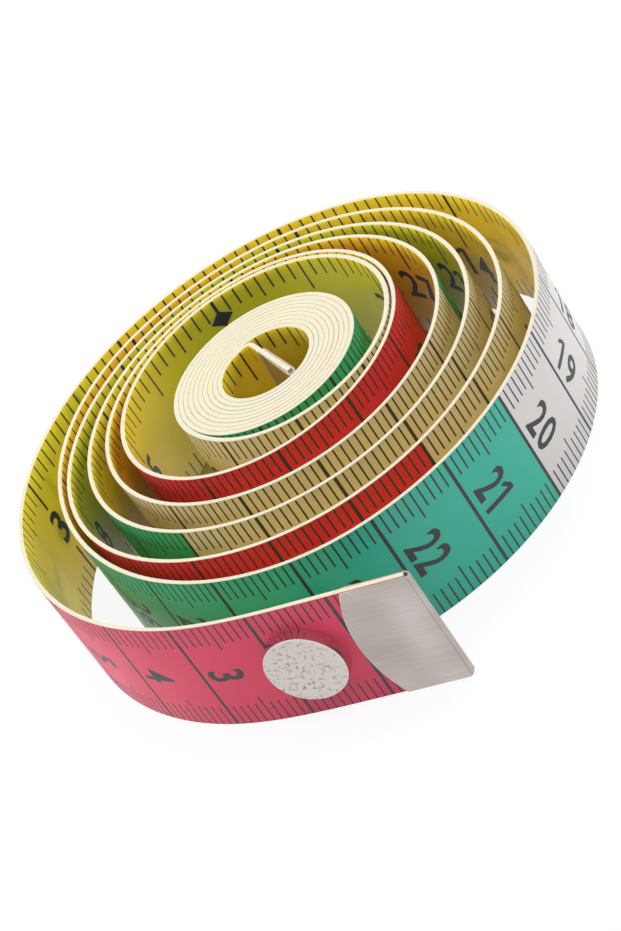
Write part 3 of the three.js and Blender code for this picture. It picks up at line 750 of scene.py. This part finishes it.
FERRULE_EDGE = 0.09 * MM
for name, at, body in (("outer_ferrule", 0.0, "end"), ("inner_ferrule", TAPE_LENGTH, "coil")):
    way = station(at)[1]
    turned = math.atan2(way[1], way[0])
    steel = brushed_nickel(f"brushed_nickel_{name}", turned, "#cfc7c3", "#c1bab6")
    # The rims that the bevel makes take this lighter nickel: a painted highlight along the edges.
    rim_highlight = brushed_nickel(f"rubbed_edge_{name}", turned, "#f0eae6", "#e6e0dc")
    ferrule = softened(f"{name}_folded", name, FERRULE_EDGE, steel, rim_highlight, rounded=False)
    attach(ferrule, body)
    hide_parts(name)


# Snap: four drawn and nickel-plated pieces and a wire ring, riveted through the tape.
# The cap sits on the coloured face near the free end, with its socket and spring behind it.
# The stud and its post sit one tight turn further in.
SNAP_AT = 16.4 * MM


def turned_piece(name, run, profile, material):
    """A round piece from a closed profile of radius and height above the tape's centre line."""
    SEGMENTS = 72
    MERGE = 1e-7
    CREASE = math.radians(40)
    place, along, out = station(np.array(run))
    axis = np.array([out[0], out[1], 0])
    across = np.array([along[0], along[1], 0])
    middle = np.array([place[0], place[1], TAPE_WIDTH / 2])
    shape = bmesh.new()
    rings = []
    for i in range(SEGMENTS):
        angle = 2 * math.pi * i / SEGMENTS
        side = across * math.cos(angle) + np.array([0, 0, 1]) * math.sin(angle)
        rings.append([shape.verts.new(middle + (side * r + axis * h) * MM) for r, h in profile])
    for i, ring in enumerate(rings):
        after = rings[(i + 1) % SEGMENTS]
        for k in range(len(profile)):
            nxt = (k + 1) % len(profile)
            shape.faces.new((ring[k], after[k], after[nxt], ring[nxt]))
    bmesh.ops.remove_doubles(shape, verts=shape.verts, dist=MERGE)
    bmesh.ops.dissolve_degenerate(shape, edges=shape.edges, dist=MERGE)
    bmesh.ops.recalc_face_normals(shape, faces=shape.faces)
    for face in shape.faces:
        face.smooth = True
    mesh = bpy.data.meshes.new(name)
    shape.to_mesh(mesh)
    shape.free()
    mesh.materials.append(material)
    mesh.set_sharp_from_angle(angle=CREASE)
    return linked(name, mesh)


def arc(radius, height, size, start, stop):
    """Points of a rounded corner on a profile, in millimetres and degrees."""
    ARC_STEPS = 6
    angles = np.radians(np.linspace(start, stop, ARC_STEPS + 1))
    return [(radius + size * math.cos(a), height + size * math.sin(a)) for a in angles]


def stamped_nickel(name, grain, strength, roughness, dark, light):
    """Nickel plate on drawn brass: bright satin metal, its face roughened by the tool that pressed it."""
    DARK_BELOW, LIGHT_ABOVE = 0.27, 0.46
    GRAIN_DEPTH = 0.05 * MM
    material, tree = new_material(name)
    place = add(tree, "ShaderNodeTexCoord").outputs["Object"]
    specks = add(tree, "ShaderNodeTexNoise", {
        "Vector": place, "Scale": 1 / grain, "Detail": 3.0}).outputs[0]
    share = add(tree, "ShaderNodeMapRange", {0: specks, 1: DARK_BELOW, 2: LIGHT_ABOVE}).outputs[0]
    tint = add(tree, "ShaderNodeMix", {0: share, 6: linear(dark), 7: linear(light)},
               data_type="RGBA").outputs[2]
    bump = add(tree, "ShaderNodeBump", {
        "Strength": strength, "Distance": GRAIN_DEPTH, "Height": specks}).outputs[0]
    shader = add(tree, "ShaderNodeBsdfPrincipled", {
        "Base Color": tint, "Metallic": 1.0, "Roughness": roughness, "Normal": bump})
    add(tree, "ShaderNodeOutputMaterial", {0: shader.outputs[0]})
    return material


face_nickel = stamped_nickel(
    "stamped_nickel", grain=0.45 * MM, strength=0.8, roughness=0.36, dark="#8a847e", light="#d0c8c2")
bright_nickel = stamped_nickel(
    "polished_nickel", grain=0.8 * MM, strength=0.03, roughness=0.16, dark="#c8c2be", light="#d8d2ce")

# Radius and height in millimetres, from the middle of the face over the rim and back through the shank.
cap_profile = [
    (0, 2.0), (2.2, 1.98), (4.0, 1.94), *arc(4.48, 1.7, 0.22, 80, 0), (4.74, 1.0), (4.78, 0.28),
    (4.5, 0.28), (4.4, 1.5), (1.2, 1.6), (1.2, -1.0), (0, -1.0)]
CAP_FACE_ABOVE = 1.9 * MM
cap = turned_piece("snap_cap_drawn", SNAP_AT, cap_profile, face_nickel)
cap.data.materials.append(bright_nickel)
place, _, out = station(np.array(SNAP_AT))
for face in cap.data.polygons:
    if (np.array(face.center)[:2] - place) @ out < CAP_FACE_ABOVE:
        face.material_index = 1
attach(cap, "end")
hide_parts("snap_cap")

SNAP_EDGE = 0.04 * MM
for name, body, slot, material in (
        ("snap_socket", "end", "snap_nickel", bright_nickel),
        ("snap_spring", "end", "spring_wire", bright_nickel),
        ("snap_stud", "stretch_3", "snap_nickel", bright_nickel),
        ("snap_post", "stretch_3", "snap_nickel", face_nickel)):
    piece = softened(f"{name}_drawn", name, SNAP_EDGE, material, material, rounded=True)
    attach(piece, body)
    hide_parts(name)


# Table and light: a plain white table top in a white studio, with soft lamps above and round the coil.
# The strongest lamp is behind it, so that light reaches the gaps between the turns off the yellow faces.
# The table keeps a faint shadow, and looks white to the camera and in metal. Under the middle of the coil
# the camera sees it a dull yellow-brown: painted shade, with painted yellow light off the turns.
TABLE_HALF = 3.0
TABLE_DROP = 0.02 * MM
TABLE_GLOW = 0.88
TABLE_WHITE, SHOWN_TABLE, TABLE_PAINTED_SHADE = "#ececec", "#606060", "#a08c50"
TABLE_ROUGH = 0.8
SHADE_RADIUS = 25 * MM
SHADE_EDGE = 3 * MM
WHITE, BLACK = linear("#ffffff"), linear("#000000")
table_top, tree = new_material("white_table_top")
coil_middle = (*(HEART + COIL_PLACE), 0.0)
spot = add(tree, "ShaderNodeTexCoord").outputs["Object"]
away = add(tree, "ShaderNodeVectorMath", {0: spot, 1: coil_middle}, operation="DISTANCE").outputs["Value"]
clear = add(tree, "ShaderNodeMapRange", {
    0: away, 1: SHADE_RADIUS, 2: SHADE_RADIUS + SHADE_EDGE}).outputs[0]
rays = add(tree, "ShaderNodeLightPath").outputs
shown = add(tree, "ShaderNodeMath", {0: rays["Is Camera Ray"], 1: clear}, operation="MULTIPLY").outputs[0]
mirrored = add(tree, "ShaderNodeMath", {
    0: rays["Is Glossy Ray"], 1: rays["Is Transmission Ray"]}, operation="MAXIMUM").outputs[0]
# painted shade under the coil, tinted with painted yellow bounce light
tint = add(tree, "ShaderNodeMix", {0: clear, 6: linear(TABLE_PAINTED_SHADE), 7: linear(SHOWN_TABLE)},
           data_type="RGBA").outputs[2]
tint = add(tree, "ShaderNodeMix", {0: rays["Is Camera Ray"], 6: linear(TABLE_WHITE), 7: tint},
           data_type="RGBA").outputs[2]
tint = add(tree, "ShaderNodeMix", {0: mirrored, 6: tint, 7: BLACK}, data_type="RGBA").outputs[2]
lift = add(tree, "ShaderNodeMath", {0: shown, 1: TABLE_GLOW, 2: mirrored},
           operation="MULTIPLY_ADD").outputs[0]
shader = add(tree, "ShaderNodeBsdfPrincipled", {
    "Base Color": tint, "Roughness": TABLE_ROUGH, "Specular IOR Level": 0.0, "Emission Color": WHITE,
    "Emission Strength": lift})
add(tree, "ShaderNodeOutputMaterial", {0: shader.outputs[0]})
corners = [(x * TABLE_HALF, y * TABLE_HALF, -TABLE_DROP) for x, y in ((-1, -1), (1, -1), (1, 1), (-1, 1))]
table_mesh = bpy.data.meshes.new("table_top")
table_mesh.from_pydata(corners, [], [(0, 1, 2, 3)])
table_mesh.materials.append(table_top)
table = linked("table_top", table_mesh)

STUDIO_LIGHT = 0.04
world = bpy.data.worlds.new("white_studio")
bpy.context.scene.world = world
world.use_nodes = True
tree = world.node_tree
tree.nodes.clear()
rays = add(tree, "ShaderNodeLightPath").outputs
mirrored = add(tree, "ShaderNodeMath", {
    0: rays["Is Glossy Ray"], 1: rays["Is Transmission Ray"]}, operation="MAXIMUM").outputs[0]
seen = add(tree, "ShaderNodeMath", {0: rays["Is Camera Ray"], 1: mirrored}, operation="MAXIMUM").outputs[0]
level = add(tree, "ShaderNodeMix", {0: seen, 2: STUDIO_LIGHT, 3: 1.0}).outputs[0]
studio = add(tree, "ShaderNodeBackground", {0: WHITE, 1: level}).outputs[0]
add(tree, "ShaderNodeOutputWorld", {0: studio})

# Each lamp's place, width and height in metres, and its power in watts. All face the middle of the coil.
for name, place, width, height, power in (
        ("back_lamp", (0.0, 0.45, 0.65), 0.8, 0.5, 3.4),
        ("back_left_lamp", (-0.54, 0.44, 0.3), 0.6, 0.3, 2.2),
        ("back_right_lamp", (0.54, 0.44, 0.3), 0.6, 0.3, 1.9),
        ("left_lamp", (-0.7, 0.05, 0.3), 0.6, 0.3, 1.8),
        ("right_lamp", (0.7, 0.05, 0.3), 0.6, 0.3, 2.3),
        ("top_lamp", (0.0, 0.1, 0.8), 0.6, 0.6, 2.4),
        ("front_lamp", (0.0, -0.45, 0.65), 0.8, 0.5, 2.5)):
    lamp_data = bpy.data.lights.new(name, "AREA")
    lamp_data.shape = "RECTANGLE"
    lamp_data.size = width
    lamp_data.size_y = height
    lamp_data.energy = power
    lamp = linked(name, lamp_data)
    lamp.location = place
    lamp.rotation_mode = "QUATERNION"
    lamp.rotation_quaternion = (-Vector(place)).to_track_quat("-Z", "Y")
    lamp.visible_glossy = False


# Camera: low over the front, with a long lens a third of a metre away.
# It is tipped on its side, so that the coil runs up to the right.
LOOK_AT = Vector((-0.924, 10.932, 0)) * MM
DISTANCE = 342.23 * MM
ELEVATION = math.radians(33.44)
ROLL = math.radians(-34.76)
LENS, SENSOR_WIDTH = 108.55, 36  # in millimetres, as the camera takes them
CLIP_START = 0.01
view_data = bpy.data.cameras.new("camera")
view_data.lens = LENS
view_data.sensor_width = SENSOR_WIDTH
view_data.clip_start = CLIP_START
view = linked("camera", view_data)
right = Vector((1, 0, 0))
up = Vector((0, math.sin(ELEVATION), math.cos(ELEVATION)))
back = Vector((0, -math.cos(ELEVATION), math.sin(ELEVATION)))
image_right = right * math.cos(ROLL) + up * math.sin(ROLL)
image_up = up * math.cos(ROLL) - right * math.sin(ROLL)
turn = Matrix((image_right, image_up, back)).transposed().to_4x4()
view.matrix_world = Matrix.Translation(LOOK_AT + back * DISTANCE) @ turn
bpy.context.scene.camera = view
bpy.context.scene.view_settings.view_transform = "Standard"
